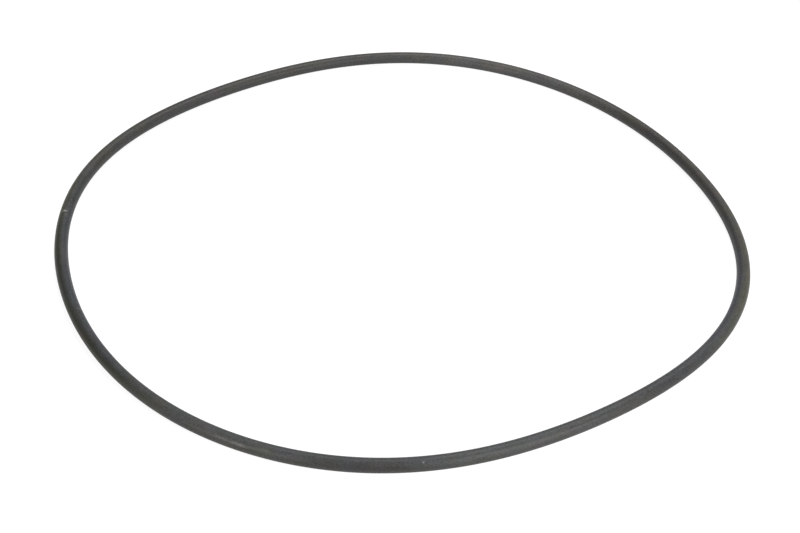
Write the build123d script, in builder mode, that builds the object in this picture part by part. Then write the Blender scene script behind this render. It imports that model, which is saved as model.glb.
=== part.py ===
"""A large rubber O-ring, the round-section oil seal of a hub or housing, lying loose on a flat surface.

It is one moulding. Out of its groove it does not lie as a true circle: after being stored folded it keeps four soft
corners with flatter sides between them. The cord keeps its length, since bending does not stretch it.

Millimetres, +Z up. The origin is the middle of the ring's outline, on the surface that the ring lies on.
"""

from build123d import *
import os
from math import cos, radians, sin, sqrt

# The moulded ring, as it sits round in its groove
INSIDE_DIAMETER = 177.39
SECTION_DIAMETER = 3.53

# The loose loop: how far each kind of bulge stands out of a circle, and where its first one points, from +X to +Y
OVAL_HEIGHT = 1.19
OVAL_ANGLE = 43.5
THREE_LOBE_HEIGHT = 0.58
THREE_LOBE_ANGLE = -17.7
FOUR_LOBE_HEIGHT = 1.54
FOUR_LOBE_ANGLE = -12.9
SIX_LOBE_HEIGHT = 0.25
SIX_LOBE_ANGLE = -20.8

# Points that the loop is drawn through, and the pairs of tangent arcs that the cord follows it with
LOOP_POINTS = 24
ARC_PAIRS = 12

BULGES = [
    (2, OVAL_HEIGHT, OVAL_ANGLE),
    (3, THREE_LOBE_HEIGHT, THREE_LOBE_ANGLE),
    (4, FOUR_LOBE_HEIGHT, FOUR_LOBE_ANGLE),
    (6, SIX_LOBE_HEIGHT, SIX_LOBE_ANGLE),
]
CORD_RADIUS = SECTION_DIAMETER / 2
ROUND_RADIUS = INSIDE_DIAMETER / 2 + CORD_RADIUS

# Bulges take up cord, so the loose loop's average radius is a little less than the round ring's
TAKEN_UP = sum((lobes * height) ** 2 for lobes, height, _ in BULGES) / (4 * ROUND_RADIUS)
LOOSE_RADIUS = ROUND_RADIUS - TAKEN_UP


def loop_point(degrees):
    """The point of the cord's centreline that lies in this direction from the bulges' common centre."""
    radius = LOOSE_RADIUS
    for lobes, height, angle in BULGES:
        radius += height * cos(lobes * radians(degrees - angle))
    return radius * cos(radians(degrees)), radius * sin(radians(degrees))


def arcs_meet_at(start, start_direction, end, end_direction):
    """The point between start and end where an arc that leaves start and one that arrives at end meet smoothly.

    Both arcs are given the same length of tangent, which is the positive root of reach * tangent ** 2 +
    along * tangent = chord ** 2.
    """
    chord = end - start
    directions = start_direction + end_direction
    reach = 4 - directions.dot(directions)
    along = 2 * chord.dot(directions)
    tangent = 2 * chord.dot(chord) / (along + sqrt(along**2 + 4 * reach * chord.dot(chord)))
    return (start + end + (start_direction - end_direction) * tangent) * 0.5


loop_points = [loop_point(360 * i / LOOP_POINTS) for i in range(LOOP_POINTS)]

with BuildLine() as loop_off_centre:
    Spline(loop_points, periodic=True)

middle = loop_off_centre.wire().bounding_box().center()

with BuildLine(Plane(origin=(-middle.X, -middle.Y, CORD_RADIUS))) as centred_loop:
    Spline(loop_points, periodic=True)

loop = centred_loop.wire()

# The ring: a round cord along the loop. On arcs every stretch of it is part of a true torus
with BuildPart() as o_ring:
    with BuildLine() as centreline:
        for pair in range(ARC_PAIRS):
            start, start_direction = loop @ (pair / ARC_PAIRS), loop % (pair / ARC_PAIRS)
            end, end_direction = loop @ ((pair + 1) / ARC_PAIRS), loop % ((pair + 1) / ARC_PAIRS)
            meeting = arcs_meet_at(start, start_direction, end, end_direction)
            first_arc = TangentArc(start, meeting, tangent=start_direction)
            TangentArc(meeting, end, tangent=first_arc % 1)

    cord_path = centreline.wire()

    with BuildSketch(Plane(origin=cord_path @ 0, z_dir=cord_path % 0)):
        Circle(CORD_RADIUS)

    sweep(path=cord_path)

o_ring.part.label = "o_ring"

os.makedirs("parts", exist_ok=True)
export_step(o_ring.part, "parts/o_ring.step")
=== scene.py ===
"""The look of a large rubber O-ring lying loose: its moulded cord, the rubber's finish, and a white studio.

Metres, in the part's frame: +Z up, the origin at the middle of the ring's outline, on the floor.
"""

from math import cos, pi, radians, sin

import bpy
import numpy as np
from mathutils import Matrix, Vector


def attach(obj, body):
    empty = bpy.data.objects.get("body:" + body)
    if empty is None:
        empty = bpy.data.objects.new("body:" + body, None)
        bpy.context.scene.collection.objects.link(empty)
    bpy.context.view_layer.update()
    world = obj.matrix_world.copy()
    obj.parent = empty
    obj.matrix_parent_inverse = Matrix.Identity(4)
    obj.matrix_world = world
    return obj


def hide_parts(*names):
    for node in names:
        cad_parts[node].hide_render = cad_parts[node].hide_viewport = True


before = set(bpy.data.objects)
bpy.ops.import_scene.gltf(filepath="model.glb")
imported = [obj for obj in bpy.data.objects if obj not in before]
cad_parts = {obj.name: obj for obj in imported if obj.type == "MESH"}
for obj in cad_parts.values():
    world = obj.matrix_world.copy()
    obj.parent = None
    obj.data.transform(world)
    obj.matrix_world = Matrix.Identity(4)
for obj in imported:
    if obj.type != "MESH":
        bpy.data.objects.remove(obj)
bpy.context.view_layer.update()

# -------------------------------------------------------------------------------------------------------
# The ring's shape, with the sizes of the part's source
# -------------------------------------------------------------------------------------------------------

INSIDE_DIAMETER = 0.17739
SECTION_DIAMETER = 0.00353
CORD_RADIUS = SECTION_DIAMETER / 2
ROUND_RADIUS = INSIDE_DIAMETER / 2 + CORD_RADIUS

# The loose loop's bulges: how many there are round the ring, how far they stand out of a circle, and where
# the first one points, in degrees
BULGES = [
    (2, 0.00119, 43.5),
    (3, 0.00058, -17.7),
    (4, 0.00154, -12.9),
    (6, 0.00025, -20.8),
]

# The cord is as long as when the ring is round. The bulges take up some of it, so the loop's average radius
# is a little less
CORD_LENGTH = 2 * pi * ROUND_RADIUS
TAKEN_UP = sum((lobes * height) ** 2 for lobes, height, _ in BULGES) / (4 * ROUND_RADIUS)
LOOSE_RADIUS = ROUND_RADIUS - TAKEN_UP

# The parting ridge, trimmed almost flush, along the outside and the inside of the cord
RIDGE_HEIGHT = 0.00003
RIDGE_WIDTH = 0.00016

# The mesh: quads along the cord, across each ridge, and round each half of the section between the ridges.
# The loop is measured in this many steps to a quad
QUADS_ALONG = 1440
QUADS_ON_RIDGE = 6
QUADS_ON_HALF = 26
STEPS_TO_A_QUAD = 20

# The map that colours are baked through: the cord's skin cut into strips. The gap left free along a strip's
# edges is a share of the strip's height
STRIPS = 8
STRIP_GAP = 0.015

# -------------------------------------------------------------------------------------------------------
# The marks on the ring, among them painted highlights and painted shade
# -------------------------------------------------------------------------------------------------------

# Each mark has its distance along the cord, its angle round the section in degrees, half its length along
# the cord, half its width round the section, and its strength. The distance starts at the right end, and
# passes the far side at about 0.14, the left end at 0.28 and the near side at 0.43. The angle starts
# straight down, and passes the outside at 90, the top at 180 and the inside at 270

# Painted highlights and painted shade, with some uneven tone of the rubber: lighter stretches and, where
# the strength is below 0, darker ones
PAINTED_LIGHT_AND_TONES = [
    (0.030, 172, 0.034, 0.0008, 0.35),
    (0.030, 220, 0.045, 0.0014, -0.32),
    (0.030, 262, 0.045, 0.0006, -0.10),
    (0.098, 210, 0.038, 0.0009, 0.15),
    (0.109, 250, 0.037, 0.0045, 0.38),
    (0.128, 264, 0.018, 0.0012, 0.20),
    (0.259, 176, 0.022, 0.0005, 0.25),
    (0.280, 246, 0.026, 0.0008, -0.20),
    (0.291, 238, 0.014, 0.0005, -0.13),
    (0.300, 150, 0.016, 0.0007, -0.25),
    (0.305, 196, 0.024, 0.0012, 0.13),
    (0.312, 120, 0.026, 0.0006, -0.22),
    (0.324, 134, 0.036, 0.0013, -0.55),
    (0.387, 160, 0.046, 0.0011, 0.16),
    (0.394, 142, 0.022, 0.0012, 0.06),
    (0.420, 118, 0.016, 0.0013, -0.30),
    (0.421, 173, 0.012, 0.0004, -0.17),
    (0.438, 154, 0.012, 0.0005, 0.14),
    (0.459, 105, 0.030, 0.0008, 0.25),
    (0.471, 112, 0.012, 0.0003, 0.15),
    (0.480, 158, 0.017, 0.0004, 0.09),
    (0.483, 167, 0.026, 0.0005, 0.16),
    (0.484, 132, 0.020, 0.0007, -0.15),
    (0.512, 138, 0.014, 0.0010, -0.16),
    (0.548, 150, 0.034, 0.0008, 0.37),
    (0.553, 187, 0.028, 0.0009, -0.16),
]

# Where the top's outside and inside differ most in tint: at the two ends, and a little at the near left
ENDS = [
    (0.310, 135, 0.040, 0.0014, 1.0),
    (0.310, 215, 0.040, 0.0014, 0.6),
    (0.388, 140, 0.016, 0.0021, 0.2),
    (0.541, 140, 0.024, 0.0014, 0.8),
    (0.541, 215, 0.024, 0.0014, 1.0),
]

# Where the rubber is a little browner
BROWNS = [
    (0.032, 210, 0.045, 0.0022, 1.0),
    (0.218, 220, 0.040, 0.0022, 0.6),
    (0.388, 128, 0.030, 0.0018, 0.35),
]

# Where the rubber is a little yellower
YELLOWS = [
    (0.276, 205, 0.027, 0.0025, 0.17),
    (0.290, 152, 0.019, 0.0006, 0.80),
    (0.328, 126, 0.034, 0.0005, 0.90),
    (0.350, 155, 0.022, 0.0025, 0.13),
    (0.554, 183, 0.028, 0.0012, 0.23),
]

# Dull streaks of bloom, which are also painted highlights where the lamps glint along the near side
BLOOM_AND_HIGHLIGHTS = [
    (0.393, 160, 0.018, 0.0015, 0.024),
    (0.457, 142, 0.022, 0.0012, 0.040),
]

# A nick at the left end with two faint ones beside it, five short scrapes, and a pale speck
SCRAPES = [
    (0.2843, 176, 0.00030, 0.00060, 0.85),
    (0.2857, 198, 0.00025, 0.00060, 0.16),
    (0.2865, 207, 0.00025, 0.00060, 0.14),
    (0.3248, 213, 0.00040, 0.00030, 0.15),
    (0.3274, 203, 0.00045, 0.00030, 0.22),
    (0.3878, 129, 0.00190, 0.00028, 0.12),
    (0.3920, 125, 0.00200, 0.00028, 0.20),
    (0.3986, 138, 0.00090, 0.00022, 0.10),
    (0.43418, 146, 0.00018, 0.00012, 0.75),
]

# The outside tint reaches this far past the top of the cord. At the far side it reaches further by the
# lean, and at the near side less far by as much
TINT_REACH = radians(7)
TINT_LEAN = radians(54)


def loop_points(count):
    """Points evenly spaced along the cord's centreline, and the cord's direction at each, in the plane."""
    turn = np.linspace(0, 2 * pi, STEPS_TO_A_QUAD * count + 1)
    radius = np.full(len(turn), LOOSE_RADIUS)
    for lobes, height, angle in BULGES:
        radius += height * np.cos(lobes * (turn - radians(angle)))
    track = np.stack([radius * np.cos(turn), radius * np.sin(turn)], axis=1)
    track -= (track.min(axis=0) + track.max(axis=0)) / 2
    steps = np.linalg.norm(np.diff(track, axis=0), axis=1)
    length = np.concatenate([[0], np.cumsum(steps)])
    places = np.linspace(0, length[-1], count, endpoint=False)
    points = np.stack([np.interp(places, length, track[:, axis]) for axis in (0, 1)], axis=1)
    directions = np.roll(points, -1, axis=0) - np.roll(points, 1, axis=0)
    return points, directions / np.linalg.norm(directions, axis=1, keepdims=True)


def section_angles():
    """The angles of the skin's points round the section, once round, close together on the two ridges."""
    ridge = RIDGE_WIDTH / CORD_RADIUS
    across_ridge = np.linspace(-ridge / 2, ridge / 2, QUADS_ON_RIDGE + 1)
    between_ridges = np.linspace(ridge / 2, pi - ridge / 2, QUADS_ON_HALF + 1)[1:-1]
    outside = across_ridge + pi / 2
    top = between_ridges + pi / 2
    inside = across_ridge + 3 * pi / 2
    bottom = between_ridges + 3 * pi / 2
    lowest = QUADS_ON_HALF // 2 - 1
    return np.concatenate([bottom[lowest:] - 2 * pi, outside, top, inside, bottom[:lowest]])


def section_radius(angles):
    """The skin's distance from the centreline: round, with a low bump on the outside and on the inside."""
    off_ridge = np.abs((angles % pi) - pi / 2) * CORD_RADIUS
    bump = 0.5 + 0.5 * np.cos(2 * pi * off_ridge / RIDGE_WIDTH)
    return CORD_RADIUS + RIDGE_HEIGHT * np.where(off_ridge < RIDGE_WIDTH / 2, bump, 0)


def make_skin(angles):
    """The ring's mesh: one closed skin of quads, with a ring of points round the section at each step."""
    around = len(angles)
    points, directions = loop_points(QUADS_ALONG)
    outward = np.stack([directions[:, 1], -directions[:, 0]], axis=1)
    reach = section_radius(angles)
    sideways = reach * np.sin(angles)
    skin = np.empty((QUADS_ALONG, around, 3))
    skin[:, :, :2] = points[:, None] + outward[:, None] * sideways[None, :, None]
    skin[:, :, 2] = CORD_RADIUS - reach * np.cos(angles)

    row = np.arange(QUADS_ALONG)[:, None] * around
    column = np.arange(around)[None]
    next_row = np.roll(row, -1, axis=0)
    next_column = np.roll(column, -1, axis=1)
    corners = [row + column, next_row + column, next_row + next_column, row + next_column]
    quads = np.stack(corners, axis=2).reshape(-1, 4)

    mesh = bpy.data.meshes.new("o_ring_skin")
    mesh.from_pydata(skin.reshape(-1, 3).tolist(), [], quads.tolist())
    mesh.shade_smooth()
    return mesh


def mark_strength(marks, angles):
    """How strongly each point is marked. Along the cord a mark is even, and fades only near its ends."""
    along = np.arange(QUADS_ALONG)[:, None] / QUADS_ALONG
    strength = np.zeros((QUADS_ALONG, len(angles)))
    for distance, angle, half_length, half_width, strongest in marks:
        off_along = ((along - distance / CORD_LENGTH + 0.5) % 1 - 0.5) * CORD_LENGTH
        off_round = ((angles[None] - radians(angle) + pi) % (2 * pi) - pi) * CORD_RADIUS
        fading = (off_along / half_length) ** 4 + (off_round / half_width) ** 2
        strength += strongest * np.exp(-fading)
    return strength.ravel()


def store(mesh, name, values):
    """Keeps a number or a vector for each point of the mesh, for the material to read."""
    kind, field = ("FLOAT", "value") if values.ndim == 1 else ("FLOAT_VECTOR", "vector")
    attribute = mesh.attributes.new(name, kind, "POINT")
    attribute.data.foreach_set(field, values.astype(np.float32).ravel())


def store_places(mesh, angles):
    """Stores each point's place along the cord and round its section, its tints and its marks."""
    around = len(angles)
    turn = 2 * pi * np.arange(QUADS_ALONG) / QUADS_ALONG
    along = np.stack([np.cos(turn), np.sin(turn), np.zeros(QUADS_ALONG)], axis=1)
    store(mesh, "along_cord", np.repeat(along, around, axis=0))
    section = np.stack([np.sin(angles), -np.cos(angles), np.zeros(around)], axis=1)
    store(mesh, "round_section", np.tile(section, (QUADS_ALONG, 1)))
    outside = np.sin(angles[None] - TINT_REACH - TINT_LEAN * np.sin(turn)[:, None]).ravel()
    store(mesh, "outside", outside)
    store(mesh, "outside_at_ends", outside * mark_strength(ENDS, angles))
    store(mesh, "brown", mark_strength(BROWNS, angles))
    store(mesh, "yellow", mark_strength(YELLOWS, angles))
    # The painted highlights and painted shade, with some uneven tone of the rubber
    store(mesh, "tone", mark_strength(PAINTED_LIGHT_AND_TONES, angles))
    # The bloom and the painted highlight streaks on the near side
    store(mesh, "bloom_and_highlight", mark_strength(BLOOM_AND_HIGHLIGHTS, angles))
    store(mesh, "scrape", mark_strength(SCRAPES, angles))


def lay_out_strips(mesh, angles):
    """Gives the mesh its map. Each strip has an equal run of the cord along it, and the section up it."""
    around = len(angles)
    quads_on_strip = QUADS_ALONG // STRIPS
    row = np.repeat(np.arange(QUADS_ALONG), around)
    column = np.tile(np.arange(around), QUADS_ALONG)
    strip, place = row // quads_on_strip, row % quads_on_strip
    left, right = place / quads_on_strip, (place + 1) / quads_on_strip
    heights = (np.append(angles, angles[0] + 2 * pi) - angles[0]) / (2 * pi)
    low, high = heights[column], heights[column + 1]
    across = np.stack([left, right, right, left], axis=1)
    up = np.stack([low, low, high, high], axis=1)
    across = STRIP_GAP / STRIPS + across * (1 - 2 * STRIP_GAP / STRIPS)
    up = (strip[:, None] + STRIP_GAP + up * (1 - 2 * STRIP_GAP)) / STRIPS
    layer = mesh.uv_layers.new(name="OFBake")
    layer.data.foreach_set("uv", np.stack([across, up], axis=2).astype(np.float32).ravel())


def make_ring():
    """The ring, in place of the plain solid."""
    angles = section_angles()
    mesh = make_skin(angles)
    store_places(mesh, angles)
    lay_out_strips(mesh, angles)
    ring = bpy.data.objects.new("rubber_ring", mesh)
    bpy.context.collection.objects.link(ring)
    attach(ring, "root")
    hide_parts("o_ring")
    return ring


# -------------------------------------------------------------------------------------------------------
# The rubber
# -------------------------------------------------------------------------------------------------------

OUTSIDE_RUBBER = (0.0521, 0.0504, 0.0473)
INSIDE_RUBBER = (0.0480, 0.0504, 0.0524)
# The pale colour of the bloom and of the painted highlight streaks
PALE_BLOOM_AND_HIGHLIGHT = (0.30, 0.29, 0.27)
SCRAPED_RUBBER = (0.50, 0.48, 0.45)
ROUGHNESS = 0.5
SPECULAR = 0.25
SHEEN = 0.05

# Tints multiply the rubber's colour, and this one leaves it as it is
NO_TINT = (1.0, 1.0, 1.0)
# The near side of the ring is a little bluer and greener, and the far side a little redder
NEAR_TINT = (0.963, 1.00, 1.022)
FAR_TINT = (1.034, 1.00, 1.01)
# Where the outside and the inside differ most, the inside is bluer and the outside yellower
INSIDE_END_TINT = (0.98, 1.00, 1.30)
OUTSIDE_END_TINT = (1.03, 1.00, 0.62)
BROWN_TINT = (1.045, 1.00, 0.95)
YELLOW_TINT = (1.00, 1.00, 0.65)
# The finish is patchy, from a little greener to a little more violet
GREEN_PATCH = (0.935, 1.00, 0.94)
VIOLET_PATCH = (1.065, 1.00, 1.06)

# Even noise: the size of its patches, and how many finer layers it has. The tint's noise makes the border
# between the outside and the inside tint uneven
TINT_NOISE = (0.0055, 1.0)
PATCH_NOISE = (0.0045, 3.0)
MOTTLE_NOISE = (0.004, 2.0)
GRAIN_NOISE = (0.00040, 3.0)

# Streaks along the cord: their length, their width, and how many finer layers they have
BROAD_STREAK = (0.045, 0.0016, 2.0)
FINE_STREAK = (0.009, 0.00045, 2.0)

# The values that a noise is read between. Between the closer ones it reaches its least and most more often
WIDE_RANGE = (0.25, 0.75)
CLOSE_RANGE = (0.3, 0.7)

# How much lighter and darker each noise makes the rubber
MOTTLE_TONE = 0.10
GRAIN_TONE = 0.37
BROAD_TONE = 0.12
FINE_TONE = 0.12

# How far noise shifts the tint, the strength of the bloom and painted highlights, and the roughness
TINT_SHIFT = 0.7
BLOOM_AND_HIGHLIGHT_SHIFT = 0.6
ROUGHNESS_SHIFT = 0.05

# Scrapes follow the grain. They have the least share of their strength where it is below the first of these
# values, and all of it above the second. They also make the rubber rougher
SCRAPED_GRAIN = (0.3, 0.6)
LEAST_SCRAPE = 0.3
SCRAPE_ROUGHNESS = 0.2

# The depth of the grain, and that of the fine streaks as a share of it
GRAIN_DEPTH = 0.000010
STREAK_SHARE = 0.6


def add_node(tree, kind, inputs=(), **settings):
    """Adds a node, sets what it does, and gives each named input its value or its link."""
    node = tree.nodes.new(kind)
    for name, value in settings.items():
        setattr(node, name, value)
    for name, value in inputs:
        if isinstance(value, bpy.types.NodeSocket):
            tree.links.new(value, node.inputs[name])
        else:
            node.inputs[name].default_value = value
    return node


def calculate(tree, operation, first, second):
    """The sum, the product or the like of two numbers."""
    return add_node(tree, "ShaderNodeMath", [(0, first), (1, second)], operation=operation).outputs[0]


def spread(tree, value, low, high, to_low=0.0, to_high=1.0):
    """Takes a value from one range to another and holds it there."""
    limits = [("From Min", low), ("From Max", high), ("To Min", to_low), ("To Max", to_high)]
    return add_node(tree, "ShaderNodeMapRange", [("Value", value), *limits]).outputs["Result"]


def shifted(tree, noise, read, middle, shift):
    """Takes a noise, read between two values, to as far as the shift either side of the middle."""
    return spread(tree, noise, *read, middle - shift, middle + shift)


def blend(tree, amount, first, second, way="MIX"):
    """Mixes two colours, each of them a link or three numbers."""
    inputs = [(0, amount)]
    for name, colour in ((6, first), (7, second)):
        inputs.append((name, colour if isinstance(colour, bpy.types.NodeSocket) else (*colour, 1.0)))
    return add_node(tree, "ShaderNodeMix", inputs, data_type="RGBA", blend_type=way).outputs[2]


def tinted(tree, colour, amount, first, second):
    """Multiplies a colour by a tint that goes from the first to the second."""
    return blend(tree, 1.0, colour, blend(tree, amount, first, second), "MULTIPLY")


def toned(tree, colour, tone):
    """Makes a colour this many times as light."""
    grey = add_node(tree, "ShaderNodeCombineXYZ", [(0, tone), (1, tone), (2, tone)]).outputs[0]
    return blend(tree, 1.0, colour, grey, "MULTIPLY")


def even_noise(tree, look):
    """Noise that is the same every way, in patches of about its size."""
    size, detail = look
    place = add_node(tree, "ShaderNodeTexCoord").outputs["Object"]
    inputs = [("Vector", place), ("Scale", 1 / size), ("Detail", detail)]
    return add_node(tree, "ShaderNodeTexNoise", inputs).outputs[0]


def stored(tree, name):
    """A number stored for each point of the mesh."""
    return add_node(tree, "ShaderNodeAttribute", attribute_name=name).outputs["Fac"]


def stored_direction(tree, name, scale=1.0):
    """The parts of a stored direction, along the cord or round its section, made longer by the scale."""
    direction = add_node(tree, "ShaderNodeAttribute", attribute_name=name).outputs["Vector"]
    inputs = [(0, direction), ("Scale", scale)]
    longer = add_node(tree, "ShaderNodeVectorMath", inputs, operation="SCALE").outputs[0]
    return add_node(tree, "ShaderNodeSeparateXYZ", [(0, longer)]).outputs


def streak_noise(tree, look):
    """Noise in streaks along the cord, which meets itself again both along the cord and round it."""
    length, width, detail = look
    along = stored_direction(tree, "along_cord", CORD_LENGTH / (2 * pi * length))
    section = stored_direction(tree, "round_section", CORD_RADIUS / width)
    parts = [(0, along[0]), (1, along[1]), (2, section[0])]
    place = add_node(tree, "ShaderNodeCombineXYZ", parts).outputs[0]
    inputs = [("Vector", place), ("W", section[1]), ("Scale", 1.0), ("Detail", detail)]
    return add_node(tree, "ShaderNodeTexNoise", inputs, noise_dimensions="4D").outputs[0]


def tinted_rubber(tree):
    """The clean rubber's colour, with the tints of its outside and inside, its sides, ends and patches."""
    uneven = shifted(tree, even_noise(tree, TINT_NOISE), CLOSE_RANGE, 0.0, TINT_SHIFT)
    outside = calculate(tree, "ADD", spread(tree, stored(tree, "outside"), -1.0, 1.0), uneven)
    colour = blend(tree, outside, INSIDE_RUBBER, OUTSIDE_RUBBER)
    far = spread(tree, stored_direction(tree, "along_cord")[1], -1.0, 1.0)
    colour = tinted(tree, colour, far, NEAR_TINT, FAR_TINT)
    at_ends = spread(tree, stored(tree, "outside_at_ends"), -1.0, 1.0)
    colour = tinted(tree, colour, at_ends, INSIDE_END_TINT, OUTSIDE_END_TINT)
    colour = tinted(tree, colour, stored(tree, "brown"), NO_TINT, BROWN_TINT)
    colour = tinted(tree, colour, stored(tree, "yellow"), NO_TINT, YELLOW_TINT)
    patch = spread(tree, even_noise(tree, PATCH_NOISE), *CLOSE_RANGE)
    return tinted(tree, colour, patch, GREEN_PATCH, VIOLET_PATCH)


def rubber_material():
    """Matt black rubber: uneven in tint and tone and finely grained, with dull bloom and pale scrapes, and
    with painted highlights and painted shade in its colour.
    """
    material = bpy.data.materials.new("black_rubber")
    material.use_nodes = True
    tree = material.node_tree
    shader = tree.nodes["Principled BSDF"]
    shader.inputs["Specular IOR Level"].default_value = SPECULAR
    shader.inputs["Sheen Weight"].default_value = SHEEN

    mottle = even_noise(tree, MOTTLE_NOISE)
    grain = even_noise(tree, GRAIN_NOISE)
    broad = streak_noise(tree, BROAD_STREAK)
    fine = streak_noise(tree, FINE_STREAK)

    colour = tinted_rubber(tree)
    tones = [(mottle, MOTTLE_TONE), (grain, GRAIN_TONE), (broad, BROAD_TONE), (fine, FINE_TONE)]
    for noise, tone in tones:
        colour = toned(tree, colour, shifted(tree, noise, WIDE_RANGE, 1.0, tone))
    # Painted highlights and painted shade, with some uneven tone of the rubber, lighten and darken the
    # colour
    colour = toned(tree, colour, calculate(tree, "ADD", stored(tree, "tone"), 1.0))

    # Streaks of bloom, partly painted highlights, pale the colour along the near side
    streaky = shifted(tree, fine, CLOSE_RANGE, 1.0, BLOOM_AND_HIGHLIGHT_SHIFT)
    bloom_and_highlight = calculate(tree, "MULTIPLY", stored(tree, "bloom_and_highlight"), streaky)
    colour = blend(tree, bloom_and_highlight, colour, PALE_BLOOM_AND_HIGHLIGHT)

    on_grain = spread(tree, grain, *SCRAPED_GRAIN, LEAST_SCRAPE, 1.0)
    scrape = calculate(tree, "MULTIPLY", stored(tree, "scrape"), on_grain)
    colour = blend(tree, scrape, colour, SCRAPED_RUBBER)
    tree.links.new(colour, shader.inputs["Base Color"])

    roughness = shifted(tree, mottle, WIDE_RANGE, ROUGHNESS, ROUGHNESS_SHIFT)
    rougher = spread(tree, scrape, 0.0, 1.0, 0.0, SCRAPE_ROUGHNESS)
    tree.links.new(calculate(tree, "ADD", roughness, rougher), shader.inputs["Roughness"])

    height = calculate(tree, "ADD", grain, calculate(tree, "MULTIPLY", fine, STREAK_SHARE))
    inputs = [("Height", height), ("Distance", GRAIN_DEPTH), ("Strength", 1.0)]
    bump = add_node(tree, "ShaderNodeBump", inputs)
    tree.links.new(bump.outputs["Normal"], shader.inputs["Normal"])
    return material


# -------------------------------------------------------------------------------------------------------
# The studio
# -------------------------------------------------------------------------------------------------------

CAMERA_PLACE = Vector((-0.0001, -0.3319, 0.2431))
CAMERA_TILT = radians(52.43)
CAMERA_ROLL = radians(2.0)
LENS = 67.9
SENSOR = 36.0

WHITE = (1.0, 1.0, 1.0, 1.0)
WORLD_LIGHT = 0.15

# The floor and the wall are grey, so that they throw little light at the ring. Their glow, which only the
# camera and glossy surfaces see, makes them white and leaves the ring's shadow on the floor
FLOOR_RADIUS = 3.0
FLOOR_SIDES = 96
WALL_HEIGHT = 0.3
STUDIO_GREY = (0.25, 0.25, 0.25, 1.0)
STUDIO_ROUGHNESS = 0.9
FLOOR_GLOW = 0.88
WALL_GLOW = 1.0

# Soft round lamps: the way round from +X and the height that each shines from, in degrees, its distance
# from the middle of the ring, and how strongly it lights a surface there that faces it, where pi shows a
# colour as written
LAMPS = [
    ("front_right_lamp", 316, 29, 0.60, 2.25),
    ("front_left_lamp", 230, 22, 1.50, 1.30),
    ("top_lamp", 75, 66, 0.60, 1.85),
]
LAMP_SIZE = 0.3


def make_camera():
    """The camera, in front of the ring and above it, with a long lens."""
    lens = bpy.data.cameras.new("camera")
    lens.lens = LENS
    lens.sensor_width = SENSOR
    camera = bpy.data.objects.new("camera", lens)
    tilt = Matrix.Rotation(CAMERA_TILT, 4, "X")
    roll = Matrix.Rotation(CAMERA_ROLL, 4, "Z")
    camera.matrix_world = Matrix.Translation(CAMERA_PLACE) @ tilt @ roll
    bpy.context.collection.objects.link(camera)
    bpy.context.scene.camera = camera


def seen_directly(tree):
    """1 for what the camera sees, straight or by a gloss or glass, and 0 for light that falls on things."""
    path = add_node(tree, "ShaderNodeLightPath").outputs
    seen = calculate(tree, "MAXIMUM", path["Is Camera Ray"], path["Is Glossy Ray"])
    return calculate(tree, "MAXIMUM", seen, path["Is Transmission Ray"])


def make_white(name, glow):
    """A grey that glows this brightly to the camera and in glossy surfaces."""
    material = bpy.data.materials.new(name)
    material.use_nodes = True
    tree = material.node_tree
    shader = tree.nodes["Principled BSDF"]
    shader.inputs["Base Color"].default_value = STUDIO_GREY
    shader.inputs["Roughness"].default_value = STUDIO_ROUGHNESS
    shader.inputs["Emission Color"].default_value = WHITE
    strength = calculate(tree, "MULTIPLY", seen_directly(tree), glow)
    tree.links.new(strength, shader.inputs["Emission Strength"])
    return material


def make_floor():
    """The white floor, and a low white wall round its edge, which low views have behind the ring."""
    bpy.ops.mesh.primitive_circle_add(vertices=FLOOR_SIDES, radius=FLOOR_RADIUS, fill_type="NGON")
    floor = bpy.context.object
    floor.name = "floor"
    floor.data.materials.append(make_white("white_floor", FLOOR_GLOW))

    bpy.ops.mesh.primitive_cylinder_add(
        vertices=FLOOR_SIDES,
        radius=FLOOR_RADIUS,
        depth=WALL_HEIGHT,
        end_fill_type="NOTHING",
        location=(0, 0, WALL_HEIGHT / 2),
    )
    wall = bpy.context.object
    wall.name = "wall"
    wall.data.materials.append(make_white("white_wall", WALL_GLOW))


def make_world():
    """A little even light from all round."""
    world = bpy.data.worlds.new("studio")
    world.use_nodes = True
    background = world.node_tree.nodes["Background"]
    background.inputs["Color"].default_value = WHITE
    background.inputs["Strength"].default_value = WORLD_LIGHT
    bpy.context.scene.world = world


def make_lamps():
    """The lamps, each facing the middle of the ring."""
    for name, turn, height, distance, light in LAMPS:
        lamp = bpy.data.lights.new(name, "AREA")
        lamp.shape = "DISK"
        lamp.size = LAMP_SIZE
        lamp.energy = light * pi * distance ** 2
        turn, height = radians(turn), radians(height)
        way = Vector((cos(turn) * cos(height), sin(turn) * cos(height), sin(height)))
        facing = way.to_track_quat("Z", "Y").to_matrix().to_4x4()
        holder = bpy.data.objects.new(name, lamp)
        holder.matrix_world = Matrix.Translation(way * distance) @ facing
        holder.visible_camera = False
        bpy.context.collection.objects.link(holder)


ring = make_ring()
ring.data.materials.append(rubber_material())
make_floor()
make_world()
make_lamps()
make_camera()

bpy.context.scene.view_settings.view_transform = "Standard"
